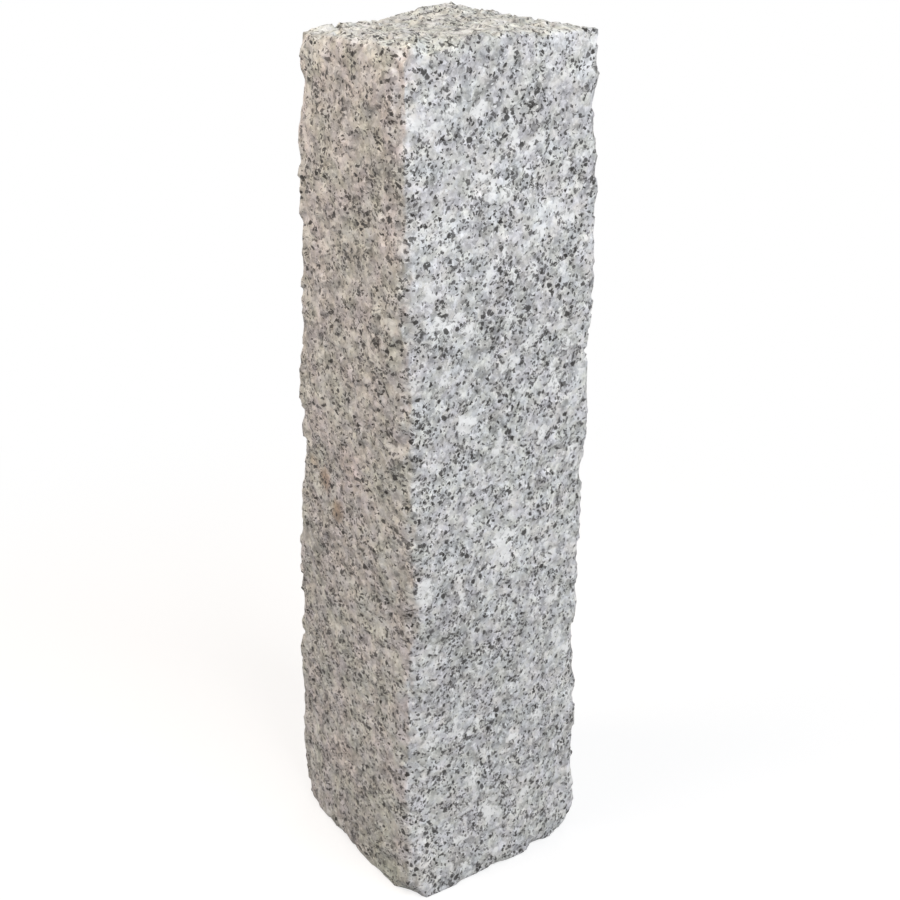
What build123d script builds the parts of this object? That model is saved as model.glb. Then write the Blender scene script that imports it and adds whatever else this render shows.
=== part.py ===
"""A cleft granite palisade: one upright post of natural stone, split on four sides and at its head.

Its frame stands at the middle of the bed, on the ground. X runs along the front face, Y from the front
face to the back one, and Z up. Lengths are in millimetres.
"""

from build123d import *
import math
import os

# Driving dimensions
height = 500.0  # from the bed to the top of the crest on the head
foot_width = 131.0  # across the bed, from the left face to the right one
foot_depth = 133.0  # across the bed, from the front face to the back one
head_width = 119.0  # across the head, the same way
head_depth = 117.0

# The cleft surfaces
swell = 6.0  # the most that a side stands proud of its nominal plane, or short of it
crest = 9.0  # the rise of the head's highest place above its nominal plane
ripple = 0.2  # of each of the low waves that splitting leaves on a cleft surface
ripple_length = 52.0  # from crest to crest of the shortest of these waves
sample_spacing = 18.0  # between the points that a cleft surface runs through
overrun = 14.0  # of the rough block past the finished stone, and of each cleft surface past that block

# The spalls: shallow flakes that broke off the arrises
spall_pitch = 26.0  # between two spalls on one arris
spall_radii = [18.0, 30.0, 52.0]  # of the shells that flakes leave, from the tightest to the flattest
spall_bite = 3.4  # the deepest cut of a spall into its arris
corner_radius = 16.0  # of the shell that is left where a corner was knocked off
corner_bite = 3.2  # its deepest cut into the corner
core_inset = 30.0  # from the nominal sides to the stone's core, away from which all flakes are struck
core_shift = 20.0  # the most that a flake's own core is wider and shallower than that, or the other way round

# How far each side stands out at even steps from the bed up to the head, as shares of the swell.
# Each row runs across that side, seen from outside the stone, from left to right.
front_shares = [
    [0.70, 0.60, 0.40, -0.85],
    [-0.25, 0.30, 0.15, -0.80],
    [-0.25, 0.15, 0.00, -0.70],
    [0.05, 0.25, -0.10, -0.95],
    [0.25, 0.15, -0.05, -0.75],
    [0.75, 0.25, -0.15, -0.65],
    [0.40, 0.20, -0.05, -0.65],
    [0.30, 0.05, 0.05, -0.20],
    [0.25, 0.15, 0.05, -0.40],
    [0.20, 0.10, 0.20, 0.10],
    [0.30, 0.15, 0.10, 0.10],
    [0.15, 0.05, 0.00, -0.10],
    [0.20, 0.10, 0.10, 0.00],
]
right_shares = [
    [-0.40, 0.15, 0.20, 0.00],
    [-0.40, 0.05, 0.25, 0.10],
    [-0.30, -0.05, 0.10, 0.15],
    [-0.50, -0.20, 0.10, 0.05],
    [-0.45, -0.10, 0.00, -0.10],
    [-0.45, 0.00, -0.10, -0.05],
    [-0.45, -0.15, 0.10, 0.10],
    [-0.10, 0.05, 0.20, 0.05],
    [-0.30, -0.10, 0.10, -0.10],
    [-0.10, 0.10, 0.00, -0.15],
    [-0.20, 0.15, 0.05, -0.05],
    [-0.20, 0.00, 0.15, 0.05],
    [-0.15, -0.05, 0.10, 0.00],
]
back_shares = [
    [0.20, 0.45, 0.35, -0.10],
    [0.10, 0.30, 0.30, 0.20],
    [0.00, 0.10, 0.20, 0.20],
    [-0.10, 0.15, 0.25, 0.15],
    [0.05, 0.05, 0.05, 0.15],
    [0.10, -0.10, 0.00, 0.05],
    [-0.05, -0.15, 0.05, -0.25],
    [-0.15, 0.05, 0.05, -0.15],
    [-0.05, 0.10, -0.15, -0.30],
    [0.05, 0.00, -0.20, -0.60],
    [-0.10, -0.10, -0.10, -0.45],
    [-0.05, 0.05, -0.15, -0.60],
    [0.00, 0.10, -0.10, -0.50],
]
left_shares = [
    [-0.35, 0.45, 0.35, -0.20],
    [-0.15, 0.30, 0.20, -0.10],
    [-0.10, 0.15, 0.10, -0.05],
    [-0.10, 0.10, 0.00, -0.15],
    [-0.10, 0.20, 0.05, -0.20],
    [-0.15, 0.05, -0.05, -0.45],
    [-0.40, -0.05, -0.10, -0.15],
    [-0.20, 0.05, 0.05, 0.05],
    [-0.15, -0.05, 0.10, 0.15],
    [-0.60, -0.10, 0.15, 0.30],
    [-0.45, 0.00, 0.10, 0.30],
    [-0.45, -0.10, 0.20, 0.50],
    [-0.35, 0.15, 0.25, 0.55],
]

# How far the head rises at even steps from its front edge to its back one, as shares of the crest.
# Each row runs from left to right.
head_shares = [
    [0.40, 0.48, 0.55, 0.60, 0.62, 0.52, 0.50],
    [0.25, 0.25, 0.30, 0.40, 0.45, 0.45, 0.50],
    [-0.05, 0.05, 0.20, 0.40, 0.55, 0.65, 0.50],
    [-0.20, -0.05, 0.15, 0.30, 0.75, 1.00, 0.50],
]


def between(values, place):
    """Reads a smooth curve through the values at a place from 0, the first, to 1, the last."""
    last = len(values) - 1
    position = min(max(place, 0), 1) * last
    start = min(int(position), last - 1)
    step = position - start
    before, first, second, after = (values[min(max(start + i, 0), last)] for i in (-1, 0, 1, 2))
    leaving, arriving, rise = (second - before) / 2, (after - first) / 2, second - first
    curve = 3 * rise - 2 * leaving - arriving + step * (leaving + arriving - 2 * rise)
    return first + step * (leaving + step * curve)


def waves(across, up, side_number):
    """Sums the low waves of a cleft surface at one place; they cross at even angles."""
    total = 0
    for i in range(5):
        angle = math.pi * (i * 0.618 + side_number * 0.1)
        along = across * math.cos(angle) + up * math.sin(angle)
        total += math.sin(2 * math.pi * along / (ripple_length * (1 + i / 5)) + i * i + side_number)
    return ripple * total


def cleft_surface(face_plane, breadth, rise, lean, shares, amount, side_number):
    """Makes the rough surface of one side, reaching past the rough block all round.

    The plane's origin lies at the middle of the side's lower edge, and its Z points out of the stone.
    """
    reach = 2 * overrun
    columns = math.ceil((breadth + 2 * reach) / sample_spacing)
    rows = math.ceil((rise + 2 * reach) / sample_spacing)
    points = []
    for column in range(columns + 1):
        across = (breadth + 2 * reach) * (column / columns - 0.5)
        line = []
        for row in range(rows + 1):
            up = (rise + 2 * reach) * row / rows - reach
            across_shares = [between(row_shares, across / breadth + 0.5) for row_shares in shares]
            out = amount * between(across_shares, up / rise) - lean * up / rise
            line.append(face_plane.from_local_coords((across, up, out + waves(across, up, side_number))))
        points.append(line)
    return Face.make_surface_from_array_of_points(points)


def away_from_core(point, lean_share):
    """Points from the nearest place of the stone's core to a place on its skin, as a unit vector.

    The lean share, from -1 to 1, turns a flake towards the front and back or towards the left and right.
    """
    half_width = head_width / 2 - core_inset - core_shift * lean_share
    half_depth = head_depth / 2 - core_inset + core_shift * lean_share
    nearest = Vector(
        min(max(point.X, -half_width), half_width),
        min(max(point.Y, -half_depth), half_depth),
        min(max(point.Z, core_inset), height - crest - core_inset),
    )
    return (point - nearest).normalized()


def shell_centre(place, radius, bite, lean_share):
    """Finds the centre of the shell that a flake of this bite leaves at a place on the skin."""
    return place + away_from_core(place, lean_share) * (radius - bite)


head_height = height - crest
width_lean = (foot_width - head_width) / 2
depth_lean = (foot_depth - head_depth) / 2
front = Plane((0, -foot_depth / 2, 0), x_dir=(1, 0, 0), z_dir=(0, -1, 0))
right = Plane((foot_width / 2, 0, 0), x_dir=(0, 1, 0), z_dir=(1, 0, 0))
back = Plane((0, foot_depth / 2, 0), x_dir=(-1, 0, 0), z_dir=(0, 1, 0))
left = Plane((-foot_width / 2, 0, 0), x_dir=(0, -1, 0), z_dir=(-1, 0, 0))
head = Plane((0, -head_depth / 2, head_height))
surfaces = [
    cleft_surface(front, foot_width, head_height, depth_lean, front_shares, swell, 0),
    cleft_surface(right, foot_depth, head_height, width_lean, right_shares, swell, 1),
    cleft_surface(back, foot_width, head_height, depth_lean, back_shares, swell, 2),
    cleft_surface(left, foot_depth, head_height, width_lean, left_shares, swell, 3),
    cleft_surface(head, head_width, head_depth, 0, head_shares, crest, 4),
]

with BuildPart() as palisade:
    with BuildSketch():
        Rectangle(foot_width + 2 * overrun, foot_depth + 2 * overrun)
    extrude(amount=height + overrun)
    for surface in surfaces:
        split(bisect_by=surface, keep=Keep.BOTTOM)
    corners = palisade.vertices()
    arrises = palisade.edges()

    # Flakes along the arrises, of uneven size and spread
    for kind, radius in enumerate(spall_radii):
        shells = []
        for number, arris in enumerate(arrises):
            count = round(arris.length / spall_pitch)
            for i in range((kind + number) % len(spall_radii), count, len(spall_radii)):
                scatter_share = (i * 0.618 + number * 0.35) % 1
                bite_share = (i * 0.414 + number * 0.21) % 1
                lean_share = math.sin(i * 2.4 + number)
                place = arris @ ((i + 0.2 + 0.6 * scatter_share) / count)
                shells.append(shell_centre(place, radius, spall_bite * (0.3 + 0.7 * bite_share), lean_share))
        with Locations(*shells):
            Sphere(radius, mode=Mode.SUBTRACT)

    # The knocked-off corners
    shells = []
    for number, corner in enumerate(corners):
        bite_share = number * 0.618 % 1
        shells.append(shell_centre(corner.center(), corner_radius, corner_bite * (1 - 0.6 * bite_share), 0))
    with Locations(*shells):
        Sphere(corner_radius, mode=Mode.SUBTRACT)

palisade.part.label = "palisade"

os.makedirs("parts", exist_ok=True)
export_step(palisade.part, "parts/palisade.step")
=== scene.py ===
"""A cleft granite palisade on a pale studio floor: its broken relief, its grain and its light.

Lengths are in metres. The tables of places on the stone are in millimetres, which MM turns into metres.
"""

import math

import bmesh
import bpy
from mathutils import Matrix, Vector


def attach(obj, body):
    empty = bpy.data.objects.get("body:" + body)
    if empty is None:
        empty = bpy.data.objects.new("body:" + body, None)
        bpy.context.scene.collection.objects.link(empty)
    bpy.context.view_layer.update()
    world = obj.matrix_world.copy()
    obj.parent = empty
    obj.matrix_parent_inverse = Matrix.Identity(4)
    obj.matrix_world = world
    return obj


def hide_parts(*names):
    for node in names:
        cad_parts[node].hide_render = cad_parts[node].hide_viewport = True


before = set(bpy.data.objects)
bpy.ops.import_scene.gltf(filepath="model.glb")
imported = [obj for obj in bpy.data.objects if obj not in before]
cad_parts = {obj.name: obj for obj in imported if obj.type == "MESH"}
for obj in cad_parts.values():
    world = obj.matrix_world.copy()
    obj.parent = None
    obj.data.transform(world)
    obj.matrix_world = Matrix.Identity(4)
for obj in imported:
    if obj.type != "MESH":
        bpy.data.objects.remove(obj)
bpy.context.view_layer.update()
scene = bpy.context.scene
MM = 0.001

# The skin's even mesh: from point to point, and how often its neighbours even out each point
SKIN_PITCH = 1.8 * MM
SKIN_EVENING = 3

# The front left arris: its place at the foot, in millimetres, and how far it leans in for each one up
ARRIS_FOOT = (-65.5, -66.5)
ARRIS_LEAN = (0.012, 0.016)

# What the evened-out normal at a square arris has lost of its length
ARRIS_LOSS = 0.29

# Broken places along that arris: a height, a radius and a depth in millimetres
ARRIS_BREAKS = (
    (480, 24, 4.5),
    (455, 18, 3.0),
    (408, 18, 2.6),
    (384, 14, 2.0),
    (345, 24, 4.0),
    (318, 16, 2.4),
    (291, 18, 2.8),
    (266, 20, 3.6),
    (190, 17, 2.8),
    (131, 22, 4.0),
    (92, 18, 3.0),
)

# The same at other corners, by their places
CORNER_BREAKS = (((-57, 55, 472), 20, 2.6),)

# Where the head stands full: at two corners and along its back edge, as blocks between two of their corners
FULL_PARTS = (
    ((30, -58.2, 470), (56.7, -30, 495.0)),
    ((-55.5, 30, 468), (-30, 54.5, 489.8)),
    ((-50, 40, 470), (-16, 57.2, 490.9)),
)

# How the stone grew: its grain's turn about the depth, in degrees, and its stretch each way
BEDDING_TURN = 30
GRAIN_STRETCH = (0.85, 1.25, 1.0)

# The flecks of biotite: a grain size in millimetres, their share of the grains, the smallest and largest
# share of its room that a fleck fills, how dark the palest is, and how sharp their edges are
BIOTITE = (
    (3.0, 0.08, 0.30, 0.60, 0.84, 7.0),
    (2.2, 0.18, 0.32, 0.70, 0.68, 7.0),
    (1.4, 0.18, 0.35, 0.80, 0.60, 6.0),
)

# The boldest flecks in the front face: how far right and up each lies and its radius, in millimetres
BOLD_FLECKS = (
    (-23, 447, 2.6),
    (-1, 456, 2.3),
    (28, 366, 2.3),
    (-55, 359, 2.2),
    (-15, 356, 2.1),
    (14, 356, 2.7),
    (-38, 352, 2.5),
    (-31, 352, 2.2),
    (41, 348, 2.5),
    (-55, 318, 2.2),
    (16, 223, 2.6),
    (-20, 203, 2.3),
    (-15, 205, 2.3),
    (-41, 201, 2.5),
    (-2, 112, 2.5),
    (-36, 86, 2.5),
    (-60, 17, 2.2),
    (-59, 21, 2.3),
)

# Marks on the stone's skin, each a place and a radius in millimetres, and a strength
PALE_PARTS = (
    ((6, -63, 218), 26, 0.14),
    ((34, -60, 408), 20, 0.10),
    ((21, -60, 397), 18, 0.08),
    ((-23, -62, 350), 16, 0.08),
    ((-12, -62, 405), 30, -0.04),
    ((0, -62, 470), 24, -0.02),
    ((0, -63, 320), 70, -0.05),
    ((0, -64, 170), 60, -0.04),
    ((-66, 0, 30), 70, -0.05),
)
BRUISES = (
    ((-57, -67, 204), 16, 0.16),
    ((6, -63, 218), 18, 0.10),
    ((-4, -63, 224), 12, 0.10),
    ((34, -60, 408), 9, 0.12),
    ((21, -60, 397), 8, 0.12),
    ((-23, -62, 350), 9, 0.12),
    ((-37, -62, 357), 11, 0.14),
    ((20, -60, 445), 7, 0.15),
    ((-16, -60, 462), 7, 0.14),
    ((36, -60, 429), 9, 0.16),
    ((-1, -61, 419), 8, 0.12),
    ((35, -62, 308), 8, 0.16),
    ((-3, -62, 326), 8, 0.14),
    ((-25, -62, 298), 8, 0.14),
    ((-30, -66, 104), 10, 0.16),
    ((-47, -65, 105), 7, 0.12),
    ((10, -66, 89), 8, 0.12),
    ((-23, -67, 75), 10, 0.14),
    ((-7, -68, 45), 14, 0.14),
    ((22, -66, 55), 8, 0.12),
    ((-31, -68, 31), 8, 0.12),
)
RUST = (
    ((-62, 29, 240), 11, 0.75),
    ((-62, 14, 226), 10, 0.75),
    ((-61, 44, 246), 8, 0.5),
    ((-60, -65, 217), 9, 0.25),
)
SOIL = (
    ((-65, -49, 8), 28, 0.30),
    ((-66, -20, 30), 30, 0.22),
)
BLUSH = (
    ((-60, -58, 484), 12, 0.45),
    ((-62, 0, 262), 16, 0.4),
    ((-64, 10, 60), 26, 0.35),
)

# Colours of the stone's minerals, and the white of painted glints
BIOTITE_BLACK = (0.037, 0.034, 0.032, 1.0)
BRUISE_WHITE = (0.97, 0.97, 0.96, 1.0)
# Painted highlight: the white of specks painted in where glints of light off cleavage faces would shine
PAINTED_GLINT_WHITE = (0.92, 0.92, 0.92, 1.0)

# Casts and stains, which multiply the colour under them
COOL_CAST = (0.983, 0.988, 1.024, 1.0)
WARM_CAST = (1.015, 1.003, 0.966, 1.0)
FAINT_GREEN = (0.990, 1.006, 0.992, 1.0)
FAINT_PINK = (1.012, 0.993, 1.002, 1.0)
LEFT_GREEN = (0.990, 1.006, 0.972, 1.0)
LEFT_PINK = (1.012, 0.989, 0.994, 1.0)
HEAD_OLIVE = (0.935, 0.96, 0.93, 1.0)
RUST_BROWN = (0.66, 0.52, 0.40, 1.0)
SOIL_GREEN = (0.72, 0.76, 0.60, 1.0)
BLUSH_PINK = (1.0, 0.86, 0.84, 1.0)

# The studio
PAPER_WHITE = (1.0, 1.0, 1.0, 1.0)
FLOOR_GREY = (0.4, 0.4, 0.4, 1.0)
FLOOR_LIFT = 0.7
FLOOR_REACH = 12.0


# Node helpers


def lay_node(tree, kind, settings=None, **inputs):
    """Adds a node, sets its plain properties, and fills or links its inputs by name."""
    node = tree.nodes.new(kind)
    for name, value in (settings or {}).items():
        setattr(node, name, value)
    for name, value in inputs.items():
        feed(tree, node, name.replace("_", " "), value)
    return node


def feed(tree, node, name, value):
    """Links a socket to the named input, or writes a plain value there."""
    fill(tree, next(s for s in node.inputs if s.name == name and s.enabled), value)


def fill(tree, socket, value):
    """Links a socket to an input, or writes a plain value there."""
    if isinstance(value, bpy.types.NodeSocket):
        tree.links.new(value, socket)
    else:
        socket.default_value = value


def answer(node, name=None):
    """The node's named output, or its first one in use."""
    return next(s for s in node.outputs if s.enabled and name in (None, s.name))


def sum_up(tree, operation, *values, clamp=False):
    """A Math node over up to three sockets or numbers."""
    node = lay_node(tree, "ShaderNodeMath", {"operation": operation, "use_clamp": clamp})
    for socket, value in zip(node.inputs, values):
        fill(tree, socket, value)
    return answer(node)


def turn_vector(tree, operation, *values):
    """A Vector Math node over sockets, triples or, for a scale, a number."""
    node = lay_node(tree, "ShaderNodeVectorMath", {"operation": operation})
    for socket, value in zip([s for s in node.inputs if s.enabled], values):
        fill(tree, socket, value)
    return answer(node)


def remap(tree, value, low, high, to_low=0.0, to_high=1.0, smooth=True):
    """A Map Range node that holds its ends."""
    kind = "SMOOTHSTEP" if smooth else "LINEAR"
    node = lay_node(tree, "ShaderNodeMapRange", {"interpolation_type": kind})
    for name, number in (("From Min", low), ("From Max", high), ("To Min", to_low), ("To Max", to_high)):
        feed(tree, node, name, number)
    feed(tree, node, "Value", value)
    return answer(node)


def mix_colours(tree, share, first, second, blend="MIX"):
    """Mixes two colours by a share."""
    node = lay_node(tree, "ShaderNodeMix", {"data_type": "RGBA", "blend_type": blend})
    for name, value in (("Factor", share), ("A", first), ("B", second)):
        feed(tree, node, name, value)
    return answer(node, "Result")


def mix_shaders(tree, share, first, second):
    """Mixes two shaders by a share."""
    node = tree.nodes.new("ShaderNodeMixShader")
    for socket, value in zip(node.inputs, (share, first, second)):
        fill(tree, socket, value)
    return answer(node)


def waves(tree, place, scale, detail=2.0, roughness=0.6):
    """A noise over a place, 0.5 on average; the scale is its waves in a metre."""
    values = {"Vector": place, "Scale": scale, "Detail": detail, "Roughness": roughness}
    return answer(lay_node(tree, "ShaderNodeTexNoise", **values))


def drift(tree, place, scale):
    """A vector that wanders over a place, zero on average."""
    noise = lay_node(tree, "ShaderNodeTexNoise", Vector=place, Scale=scale, Detail=1.0)
    return turn_vector(tree, "SUBTRACT", answer(noise, "Color"), (0.5, 0.5, 0.5))


def centred(tree, value):
    """A value of 0.5 on average, brought to zero on average."""
    return sum_up(tree, "SUBTRACT", value, 0.5)


def lay_marks(tree, place, marks):
    """Soft-edged marks: each a place in millimetres, a radius in millimetres and a strength."""
    total = 0.0
    for spot, radius, strength in marks:
        near = turn_vector(tree, "DISTANCE", place, Vector(spot) * MM)
        mark = remap(tree, near, 0.25 * radius * MM, radius * MM, strength, 0.0)
        total = sum_up(tree, "ADD", total, mark)
    return total


# The stone's shape


def facets(tree, place, size, tilt):
    """The little flat facets that the splitting left, each tilted its own way."""
    bent = turn_vector(tree, "ADD", place, turn_vector(tree, "SCALE", drift(tree, place, 140.0), 6 * MM))
    cells = lay_node(tree, "ShaderNodeTexVoronoi", Vector=bent, Scale=sum_up(tree, "DIVIDE", 1.0, size))
    slope = turn_vector(tree, "SUBTRACT", answer(cells, "Color"), (0.5, 0.5, 0.5))
    from_middle = turn_vector(tree, "SUBTRACT", bent, answer(cells, "Position"))
    return sum_up(tree, "MULTIPLY", turn_vector(tree, "DOT_PRODUCT", slope, from_middle), tilt)


def broken_skin(tree, given, place, outward):
    """How far the broken skin stands out: lumps, facets and fine steps, rougher on the head."""
    lumps = centred(tree, waves(tree, place, 38.0, 2.0, 0.5))
    steps = centred(tree, waves(tree, place, 210.0))
    height = sum_up(tree, "MULTIPLY", lumps, answer(given, "Lump Depth"))
    facet = facets(tree, place, answer(given, "Facet Size"), answer(given, "Facet Tilt"))
    height = sum_up(tree, "ADD", height, facet)
    height = sum_up(tree, "MULTIPLY_ADD", steps, answer(given, "Step Depth"), height)
    upward = answer(lay_node(tree, "ShaderNodeSeparateXYZ", Vector=outward), "Z")
    return sum_up(tree, "MULTIPLY", height, remap(tree, upward, 0.5, 0.9, 1.0, 1.6))


def evened_normal(tree, outward, rounds):
    """The normal evened out over its neighbours, and how sharply the skin turns: 1 at a square arris."""
    settings = {"data_type": "FLOAT_VECTOR"}
    evened = answer(lay_node(tree, "GeometryNodeBlurAttribute", settings, Value=outward, Iterations=rounds))
    loss = sum_up(tree, "SUBTRACT", 1.0, turn_vector(tree, "LENGTH", evened))
    return evened, sum_up(tree, "DIVIDE", loss, ARRIS_LOSS)


def arris_wear(tree, given, place, outward):
    """How far the arrises are worn back: unevenly, and most at the front left one."""
    sharpness = evened_normal(tree, outward, 14)[1]
    broken = remap(tree, waves(tree, place, 48.0), 0.35, 0.68, 0.15, 1.0)
    wear = sum_up(tree, "MULTIPLY", sharpness, broken)
    wear = sum_up(tree, "MULTIPLY", wear, answer(given, "Wear Depth"))
    split = lay_node(tree, "ShaderNodeSeparateXYZ", Vector=place)
    to_front = remap(tree, answer(split, "Y"), -30 * MM, -50 * MM)
    to_left = remap(tree, answer(split, "X"), -30 * MM, -50 * MM)
    more = sum_up(tree, "MULTIPLY_ADD", sum_up(tree, "MULTIPLY", to_front, to_left), 1.2, 1.0)
    return sum_up(tree, "MULTIPLY", wear, more)


def wide_breaks(tree, place, sharpness):
    """How far the wide breaks go back along the front left arris and at the other corners."""
    breaks = list(CORNER_BREAKS)
    for height, radius, depth in ARRIS_BREAKS:
        right, back = (foot + lean * height for foot, lean in zip(ARRIS_FOOT, ARRIS_LEAN))
        breaks.append(((right, back, height), radius, depth))
    return sum_up(tree, "MULTIPLY", sum_up(tree, "MULTIPLY", lay_marks(tree, place, breaks), MM), sharpness)


def cleft_relief():
    """Breaks an even skin rough and wears its arrises back; the bed stays flat."""
    tree = bpy.data.node_groups.new("cleft relief", "GeometryNodeTree")
    tree.interface.new_socket("Geometry", in_out="INPUT", socket_type="NodeSocketGeometry")
    for name, usual in (
        ("Wear Depth", 1.0 * MM),
        ("Lump Depth", 1.6 * MM),
        ("Facet Size", 11.0 * MM),
        ("Facet Tilt", 0.2975),
        ("Step Depth", 0.64 * MM),
        ("Bed Height", 3.0 * MM),
    ):
        socket = tree.interface.new_socket(name, in_out="INPUT", socket_type="NodeSocketFloat")
        socket.default_value = usual
    tree.interface.new_socket("Geometry", in_out="OUTPUT", socket_type="NodeSocketGeometry")
    given = tree.nodes.new("NodeGroupInput")
    made = tree.nodes.new("NodeGroupOutput")
    place = answer(tree.nodes.new("GeometryNodeInputPosition"))
    outward = answer(tree.nodes.new("GeometryNodeInputNormal"))
    above_bed = answer(lay_node(tree, "ShaderNodeSeparateXYZ", Vector=place), "Z")
    above_bed = sum_up(tree, "DIVIDE", above_bed, answer(given, "Bed Height"), clamp=True)

    evened, sharpness = evened_normal(tree, outward, 60)
    wear = sum_up(tree, "ADD", arris_wear(tree, given, place, outward), wide_breaks(tree, place, sharpness))
    wear = sum_up(tree, "MULTIPLY", wear, above_bed)
    height = sum_up(tree, "MULTIPLY", broken_skin(tree, given, place, outward), above_bed)
    outwards = turn_vector(tree, "SCALE", outward, height)
    inwards = turn_vector(tree, "SCALE", turn_vector(tree, "NORMALIZE", evened), wear)
    moved = lay_node(
        tree,
        "GeometryNodeSetPosition",
        Geometry=answer(given, "Geometry"),
        Offset=turn_vector(tree, "SUBTRACT", outwards, inwards),
    )
    tree.links.new(answer(moved), made.inputs[0])
    return tree


def fill_out(solid):
    """A copy of the solid's mesh, with blocks where the head stands full; the even mesh fuses them."""
    shape = bmesh.new()
    shape.from_mesh(solid)
    for low, high in FULL_PARTS:
        low, high = Vector(low) * MM, Vector(high) * MM
        fit = Matrix.Translation((low + high) / 2) @ Matrix.Diagonal(high - low).to_4x4()
        bmesh.ops.create_cube(shape, size=1.0, matrix=fit)
    mesh = bpy.data.meshes.new("filled out")
    shape.to_mesh(mesh)
    shape.free()
    return mesh


def split_stone(node):
    """Makes the stone's skin: the solid's shape as an even mesh, broken rough and worn at its arrises."""
    stone = bpy.data.objects.new("cleft_stone", fill_out(node.data))
    scene.collection.objects.link(stone)
    even = stone.modifiers.new("even mesh", "REMESH")
    even.mode = "VOXEL"
    even.voxel_size = SKIN_PITCH
    even.use_smooth_shade = True
    evened = stone.modifiers.new("evened skin", "SMOOTH")
    evened.factor = 0.5
    evened.iterations = SKIN_EVENING
    rough = stone.modifiers.new("cleft relief", "NODES")
    rough.node_group = cleft_relief()
    bpy.context.view_layer.update()
    finished = bpy.data.meshes.new_from_object(stone.evaluated_get(bpy.context.evaluated_depsgraph_get()))
    stone.modifiers.clear()
    stone.data = finished
    for point in finished.vertices:
        point.co.z = max(point.co.z, 0.0)
    return stone


# The granite's groups


def start_group(name, inputs, outputs):
    """Starts a shader node group, from its inputs' usual values and its outputs' kinds."""
    tree = bpy.data.node_groups.new(name, "ShaderNodeTree")
    for label, usual in inputs.items():
        kind = "NodeSocketVector" if isinstance(usual, tuple) else "NodeSocketFloat"
        socket = tree.interface.new_socket(label, in_out="INPUT", socket_type=kind)
        socket.default_value = usual
    for label, kind in outputs.items():
        tree.interface.new_socket(label, in_out="OUTPUT", socket_type=kind)
    return tree, tree.nodes.new("NodeGroupInput"), tree.nodes.new("NodeGroupOutput")


def place_group(tree, group, **inputs):
    """Places a node group in a material or in another group."""
    return lay_node(tree, "ShaderNodeGroup", {"node_tree": group}, **inputs)


def crooked_place():
    """Bends a place by noise, so that grain boundaries run crooked."""
    tree, given, made = start_group(
        "crooked place",
        {"Place": (0.0, 0.0, 0.0), "Bend Length": 1.2 * MM, "Bend": 0.5 * MM},
        {"Place": "NodeSocketVector"},
    )
    wander = drift(tree, answer(given, "Place"), sum_up(tree, "DIVIDE", 1.0, answer(given, "Bend Length")))
    reach = sum_up(tree, "MULTIPLY", answer(given, "Bend"), 4.0)
    bent = turn_vector(tree, "ADD", answer(given, "Place"), turn_vector(tree, "SCALE", wander, reach))
    tree.links.new(bent, made.inputs["Place"])
    return tree


def crystal_grains():
    """A tight pack of crystals: three random numbers for each, and the distance from its middle."""
    parts = {"First": "Red", "Second": "Green", "Third": "Blue"}
    tree, given, made = start_group(
        "crystal grains",
        {"Place": (0.0, 0.0, 0.0), "Grain Size": 3.0 * MM},
        dict.fromkeys([*parts, "Distance"], "NodeSocketFloat"),
    )
    scale = sum_up(tree, "DIVIDE", 1.0, answer(given, "Grain Size"))
    cells = lay_node(tree, "ShaderNodeTexVoronoi", Vector=answer(given, "Place"), Scale=scale)
    split = lay_node(tree, "ShaderNodeSeparateColor", Color=answer(cells, "Color"))
    for label, part in parts.items():
        tree.links.new(answer(split, part), made.inputs[label])
    tree.links.new(answer(cells, "Distance"), made.inputs["Distance"])
    return tree


def mineral_flecks(crystals):
    """Flecks of one mineral: some crystals of a pack, each grown to its own share of its room."""
    tree, given, made = start_group(
        "flecks",
        {
            "Place": (0.0, 0.0, 0.0),
            "Grain Size": 2.0 * MM,
            "Share": 0.1,
            "Smallest": 0.25,
            "Largest": 0.7,
            "Palest": 0.4,
            "Sharpness": 10.0,
        },
        {"Mask": "NodeSocketFloat"},
    )
    pack = place_group(tree, crystals, Place=answer(given, "Place"), Grain_Size=answer(given, "Grain Size"))
    spread = sum_up(tree, "SUBTRACT", answer(given, "Largest"), answer(given, "Smallest"))
    reach = sum_up(tree, "MULTIPLY_ADD", answer(pack, "Second"), spread, answer(given, "Smallest"))
    inside = sum_up(tree, "SUBTRACT", reach, answer(pack, "Distance"))
    inside = sum_up(tree, "MULTIPLY_ADD", inside, answer(given, "Sharpness"), 0.5, clamp=True)
    chosen = sum_up(tree, "LESS_THAN", answer(pack, "First"), answer(given, "Share"))
    depth = sum_up(tree, "SUBTRACT", 1.0, answer(given, "Palest"))
    depth = sum_up(tree, "MULTIPLY_ADD", answer(pack, "Third"), depth, answer(given, "Palest"))
    mask = sum_up(tree, "MULTIPLY", sum_up(tree, "MULTIPLY", inside, chosen), depth)
    tree.links.new(mask, made.inputs["Mask"])
    return tree


# The granite


def bend(tree, crooked, place, length, reach):
    """A place bent crooked; the length and the reach of the bends are in millimetres."""
    return answer(place_group(tree, crooked, Place=place, Bend_Length=length * MM, Bend=reach * MM))


def stone_places(tree, crooked, skin):
    """The ways to read a place on the skin: plain, bent for the edges of marks, or bedded for the grain."""
    bedding = lay_node(
        tree,
        "ShaderNodeMapping",
        {"vector_type": "TEXTURE"},
        Vector=skin,
        Rotation=(0.0, math.radians(BEDDING_TURN), 0.0),
        Scale=GRAIN_STRETCH,
    )
    grown = bend(tree, crooked, answer(bedding), 2.4, 0.8)
    return {
        "skin": skin,
        "uneven": bend(tree, crooked, skin, 1.4, 0.35),
        "ragged": bend(tree, crooked, skin, 5.0, 2.2),
        "grown": grown,
        "fine": bend(tree, crooked, grown, 0.8, 0.22),
    }


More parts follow.
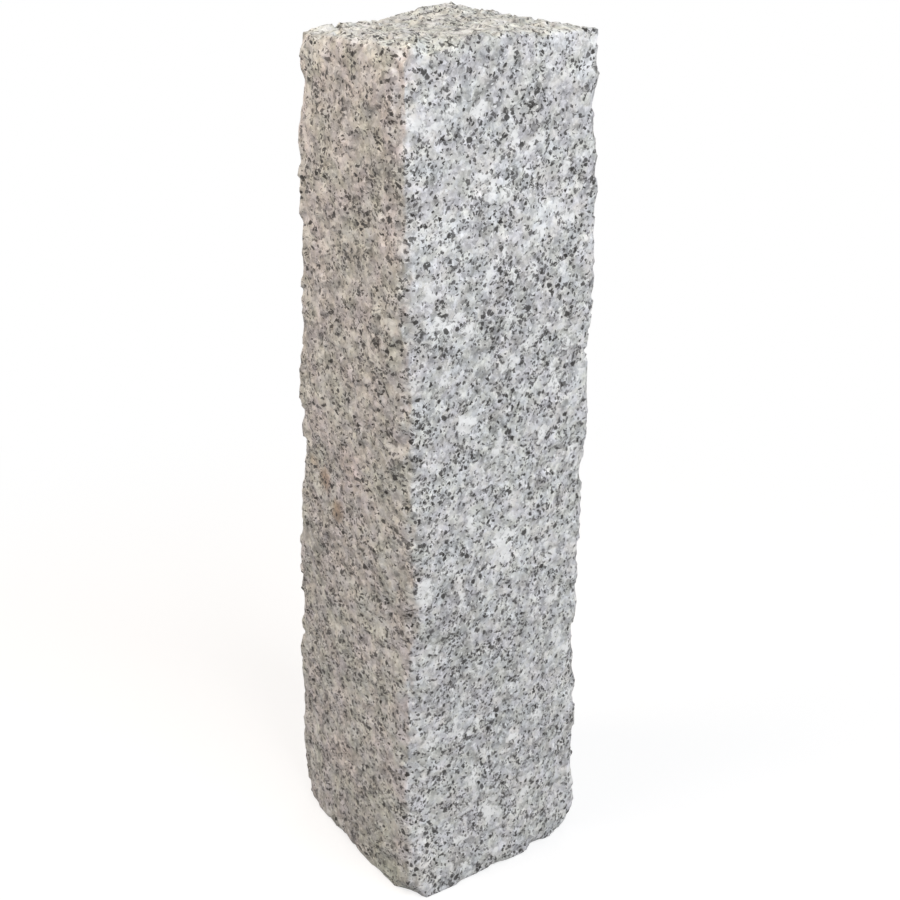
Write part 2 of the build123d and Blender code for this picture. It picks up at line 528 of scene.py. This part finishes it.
def feldspar_and_quartz(tree, crystals, at):
    """Feldspar crystals of two sizes with quartz between: their tone, the quartz and the broken heights."""
    coarse = place_group(tree, crystals, Place=at["fine"], Grain_Size=4.6 * MM)
    pack = place_group(tree, crystals, Place=at["fine"], Grain_Size=2.3 * MM)
    cloud = centred(tree, waves(tree, at["grown"], 200.0, 4.0))
    quartz = remap(tree, answer(pack, "Second"), 0.25, 0.45, 1.0, 0.0, smooth=False)
    tone = remap(tree, answer(pack, "First"), 0.0, 1.0, 0.60, 0.78, smooth=False)
    change = remap(tree, answer(coarse, "First"), 0.0, 1.0, -0.10, 0.14, smooth=False)
    tone = sum_up(tree, "ADD", tone, change)
    tone = sum_up(tree, "ADD", tone, cloud)
    tone = sum_up(tree, "MULTIPLY_ADD", quartz, -0.13, tone)
    height = sum_up(tree, "MULTIPLY", cloud, 2.4)
    height = sum_up(tree, "MULTIPLY_ADD", answer(pack, "Third"), 0.6, height)
    height = sum_up(tree, "MULTIPLY_ADD", answer(coarse, "Third"), 0.8, height)
    return tone, quartz, height


def veil(tree, flecks, at, tone):
    """Greys the tone where biotite lies just under the skin, and makes broad parts paler or duller."""
    veils = place_group(
        tree,
        flecks,
        Place=at["fine"],
        Grain_Size=5.2 * MM,
        Share=0.24,
        Smallest=0.3,
        Largest=0.75,
        Palest=0.2,
        Sharpness=3.0,
    )
    tone = sum_up(tree, "MULTIPLY_ADD", answer(veils), -0.23, tone)
    broad = centred(tree, waves(tree, at["skin"], 24.0, 2.0, 0.55))
    tone = sum_up(tree, "MULTIPLY_ADD", broad, 0.36, tone)
    return sum_up(tree, "ADD", tone, lay_marks(tree, at["ragged"], PALE_PARTS))


def bruising(tree, at):
    """Where the stone was struck and its crystals were crushed white."""
    weak_places = waves(tree, at["grown"], 75.0, 3.0, 0.62)
    bruised = sum_up(tree, "ADD", weak_places, lay_marks(tree, at["ragged"], BRUISES))
    return remap(tree, bruised, 0.59, 0.68)


def cast(tree, place, scale, detail, low, first, second):
    """A cast that wanders between two tints; low is the noise at which it is all the first one."""
    share = remap(tree, waves(tree, place, scale, detail), low, 1.0 - low)
    return mix_colours(tree, share, first, second)


def pale_ground(tree, flecks, at, tone, bruise, white_under_head_shade):
    """The colour of the pale minerals, with their casts and white bruises, and white specks painted in as
    glints of light off cleavage faces; the bruise white and the painted glints are dimmed on the head as
    painted shade.
    """
    ground = answer(lay_node(tree, "ShaderNodeCombineColor", Red=tone, Green=tone, Blue=tone))
    warm_and_cool = cast(tree, at["grown"], 120.0, 2.0, 0.35, COOL_CAST, WARM_CAST)
    green_and_pink = cast(tree, at["skin"], 70.0, 2.0, 0.35, FAINT_GREEN, FAINT_PINK)
    ground = mix_colours(tree, 1.0, ground, warm_and_cool, "MULTIPLY")
    ground = mix_colours(tree, 1.0, ground, green_and_pink, "MULTIPLY")
    # Painted shade: the bruise white is mixed in less on the head
    white = sum_up(tree, "MULTIPLY", sum_up(tree, "MULTIPLY", bruise, 0.92), white_under_head_shade)
    ground = mix_colours(tree, white, ground, BRUISE_WHITE)
    # Painted highlights: small white specks that stand in for glints of light, dimmed on the head by
    # painted shade
    painted_glints = place_group(
        tree,
        flecks,
        Place=at["fine"],
        Grain_Size=1.7 * MM,
        Share=0.2,
        Smallest=0.2,
        Largest=0.6,
        Palest=0.25,
    )
    return mix_colours(tree, sum_up(tree, "MULTIPLY", answer(painted_glints), white_under_head_shade), ground, PAINTED_GLINT_WHITE)


def biotite(tree, flecks, at):
    """Flecks of biotite in three sizes, crowded in some parts and rare in others."""
    crowd = remap(tree, waves(tree, at["skin"], 75.0, 1.0, 0.5), 0.35, 0.65, 0.5, 1.5)
    dark = 0.0
    for size, share, smallest, largest, palest, sharpness in BIOTITE:
        layer = place_group(
            tree,
            flecks,
            Place=at["fine"],
            Grain_Size=size * MM,
            Share=sum_up(tree, "MULTIPLY", crowd, share),
            Smallest=smallest,
            Largest=largest,
            Palest=palest,
            Sharpness=sharpness,
        )
        dark = sum_up(tree, "MAXIMUM", dark, answer(layer))
    return dark


def bold_flecks(tree, at):
    """The boldest flecks of biotite, which lie in the front face alone."""
    on_front = turn_vector(tree, "MULTIPLY", at["uneven"], (1.0, 0.0, 1.0))
    flecks = lay_marks(tree, on_front, [((right, 0, up), radius, 1.0) for right, up, radius in BOLD_FLECKS])
    depth = answer(lay_node(tree, "ShaderNodeSeparateXYZ", Vector=at["skin"]), "Y")
    near_front = remap(tree, depth, -45 * MM, -55 * MM)
    return sum_up(tree, "MULTIPLY", remap(tree, flecks, 0.3, 0.7, 0.0, 0.93), near_front)


def weather(tree, at, colour, on_left, on_head):
    """Mottles the left side pink and green, films the head olive, and lays on rust, soil and blush."""
    mottle = cast(tree, at["skin"], 42.0, 3.0, 0.38, LEFT_GREEN, LEFT_PINK)
    colour = mix_colours(tree, on_left, colour, mottle, "MULTIPLY")
    colour = mix_colours(tree, on_head, colour, HEAD_OLIVE, "MULTIPLY")
    for marks, stain in ((RUST, RUST_BROWN), (SOIL, SOIL_GREEN), (BLUSH, BLUSH_PINK)):
        colour = mix_colours(tree, lay_marks(tree, at["ragged"], marks), colour, stain, "MULTIPLY")
    return colour


def granite_finish():
    """Light grey granite: feldspar, quartz and flecks of biotite, bruised white where it was struck."""
    material = bpy.data.materials.new("cleft granite")
    material.use_nodes = True
    tree = material.node_tree
    shader = tree.nodes["Principled BSDF"]
    crystals = crystal_grains()
    flecks = mineral_flecks(crystals)
    coordinates = tree.nodes.new("ShaderNodeTexCoord")
    at = stone_places(tree, crooked_place(), answer(coordinates, "Object"))
    outward = lay_node(tree, "ShaderNodeSeparateXYZ", Vector=answer(coordinates, "Normal"))
    on_left = remap(tree, answer(outward, "X"), -0.6, -0.9)
    on_head = remap(tree, answer(outward, "Z"), 0.45, 0.8)
    # Painted shade: the bruise white and the painted glints are dimmed on the up-facing head, which the
    # lamps light more brightly
    white_under_head_shade = sum_up(tree, "MULTIPLY_ADD", on_head, -0.35, 1.0)

    tone, quartz, height = feldspar_and_quartz(tree, crystals, at)
    bruise = bruising(tree, at)
    ground = pale_ground(tree, flecks, at, veil(tree, flecks, at, tone), bruise, white_under_head_shade)
    pits = biotite(tree, flecks, at)
    dark = sum_up(tree, "MULTIPLY", pits, sum_up(tree, "MULTIPLY_ADD", bruise, -0.5, 1.0))
    dark = sum_up(tree, "MAXIMUM", dark, bold_flecks(tree, at))
    colour = mix_colours(tree, dark, ground, BIOTITE_BLACK)
    feed(tree, shader, "Base Color", weather(tree, at, colour, on_left, on_head))

    # Each crystal broke at its own height, and quartz and biotite shine a little more than feldspar
    height = sum_up(tree, "MULTIPLY_ADD", pits, -0.4, height)
    bump = lay_node(tree, "ShaderNodeBump", Strength=0.75, Distance=0.5 * MM, Height=height)
    feed(tree, shader, "Normal", answer(bump))
    rough = sum_up(tree, "MULTIPLY_ADD", dark, -0.25, 0.8)
    feed(tree, shader, "Roughness", sum_up(tree, "MULTIPLY_ADD", quartz, -0.12, rough))
    feed(tree, shader, "Specular IOR Level", 0.3)
    return material


# The studio


def seen_share(tree):
    """1 for the rays that show the background: to the camera, in a reflection or through glass."""
    path = tree.nodes.new("ShaderNodeLightPath")
    seen = sum_up(tree, "MAXIMUM", answer(path, "Is Camera Ray"), answer(path, "Is Glossy Ray"))
    return sum_up(tree, "MAXIMUM", seen, answer(path, "Is Transmission Ray"))


def floor_finish():
    """A pale floor that shows white and keeps the stone's shadow."""
    material = bpy.data.materials.new("pale floor")
    material.use_nodes = True
    tree = material.node_tree
    shader = tree.nodes["Principled BSDF"]
    feed(tree, shader, "Base Color", FLOOR_GREY)
    feed(tree, shader, "Roughness", 1.0)
    feed(tree, shader, "Specular IOR Level", 0.0)
    lift = lay_node(tree, "ShaderNodeEmission", Color=PAPER_WHITE, Strength=FLOOR_LIFT)
    white = lay_node(tree, "ShaderNodeEmission", Color=PAPER_WHITE, Strength=1.0)
    lifted = tree.nodes.new("ShaderNodeAddShader")
    for socket, part in zip(lifted.inputs, (shader, lift)):
        tree.links.new(answer(part), socket)
    away = turn_vector(tree, "LENGTH", answer(tree.nodes.new("ShaderNodeTexCoord"), "Object"))
    faded = mix_shaders(tree, remap(tree, away, 0.25, 0.75), answer(lifted), answer(white))
    choice = mix_shaders(tree, seen_share(tree), answer(shader), faded)
    tree.links.new(choice, tree.nodes["Material Output"].inputs["Surface"])
    return material


def lay_floor():
    """The plain pale floor under the stone."""
    mesh = bpy.data.meshes.new("floor")
    corners = [(-FLOOR_REACH, -FLOOR_REACH, 0), (FLOOR_REACH, -FLOOR_REACH, 0)]
    corners += [(FLOOR_REACH, FLOOR_REACH, 0), (-FLOOR_REACH, FLOOR_REACH, 0)]
    mesh.from_pydata(corners, [], [(0, 1, 2, 3)])
    floor = bpy.data.objects.new("floor", mesh)
    floor.data.materials.append(floor_finish())
    scene.collection.objects.link(floor)


def hang_lamp(name, place, aim, size, power, colour):
    """A soft square lamp at a place, turned to what it lights; its power is in watts."""
    lamp = bpy.data.lights.new(name, "AREA")
    lamp.shape = "SQUARE"
    lamp.size = size
    lamp.energy = power
    lamp.color = colour
    holder = bpy.data.objects.new(name, lamp)
    holder.location = place
    holder.rotation_euler = (Vector(aim) - Vector(place)).to_track_quat("-Z", "Y").to_euler()
    scene.collection.objects.link(holder)


def light_the_world(strength):
    """Even light from all round; behind the stone the camera sees white."""
    world = bpy.data.worlds.new("studio")
    scene.world = world
    world.use_nodes = True
    tree = world.node_tree
    tree.nodes.clear()
    out = tree.nodes.new("ShaderNodeOutputWorld")
    glow = lay_node(tree, "ShaderNodeBackground", Color=PAPER_WHITE, Strength=strength)
    white = lay_node(tree, "ShaderNodeBackground", Color=PAPER_WHITE, Strength=1.0)
    choice = mix_shaders(tree, seen_share(tree), answer(glow), answer(white))
    tree.links.new(choice, out.inputs["Surface"])


def set_camera(place, azimuth, elevation, roll, lens):
    """The camera: its turn round the stone, its tilt and its roll in degrees, its lens in millimetres."""
    camera = bpy.data.objects.new("camera", bpy.data.cameras.new("camera"))
    scene.collection.objects.link(camera)
    turn, tilt = math.radians(azimuth), math.radians(elevation)
    back = Vector((math.sin(turn) * math.cos(tilt), -math.cos(turn) * math.cos(tilt), math.sin(tilt)))
    level = Vector((math.cos(turn), math.sin(turn), 0.0))
    axes = Matrix((level, back.cross(level), back)).transposed().to_4x4()
    camera.matrix_world = Matrix.Translation(place) @ axes @ Matrix.Rotation(math.radians(roll), 4, "Z")
    camera.data.sensor_width = 36.0
    camera.data.lens = lens
    scene.camera = camera


# The making

set_camera(place=(-0.4044, -0.6172, 0.5707), azimuth=-33.65, elevation=23.15, roll=0.55, lens=54.70)

stone = split_stone(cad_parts["palisade"])
stone.data.materials.clear()
stone.data.materials.append(granite_finish())
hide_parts("palisade")
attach(stone, "root")

lay_floor()
light_the_world(0.28)
hang_lamp("cool_window", (0.15, -1.15, 1.1), (0, 0, 0.35), size=1.1, power=15.2, colour=(0.948, 0.970, 1.0))
hang_lamp("warm_wall", (-0.75, 0.25, 1.15), (0, 0, 0.45), size=0.7, power=7.3, colour=(1.0, 0.82, 0.67))
hang_lamp("back_fill", (1.2, 1.5, 0.45), (0, 0, 0.25), size=1.2, power=11.0, colour=(1.0, 1.0, 1.0))

scene.view_settings.view_transform = "Standard"
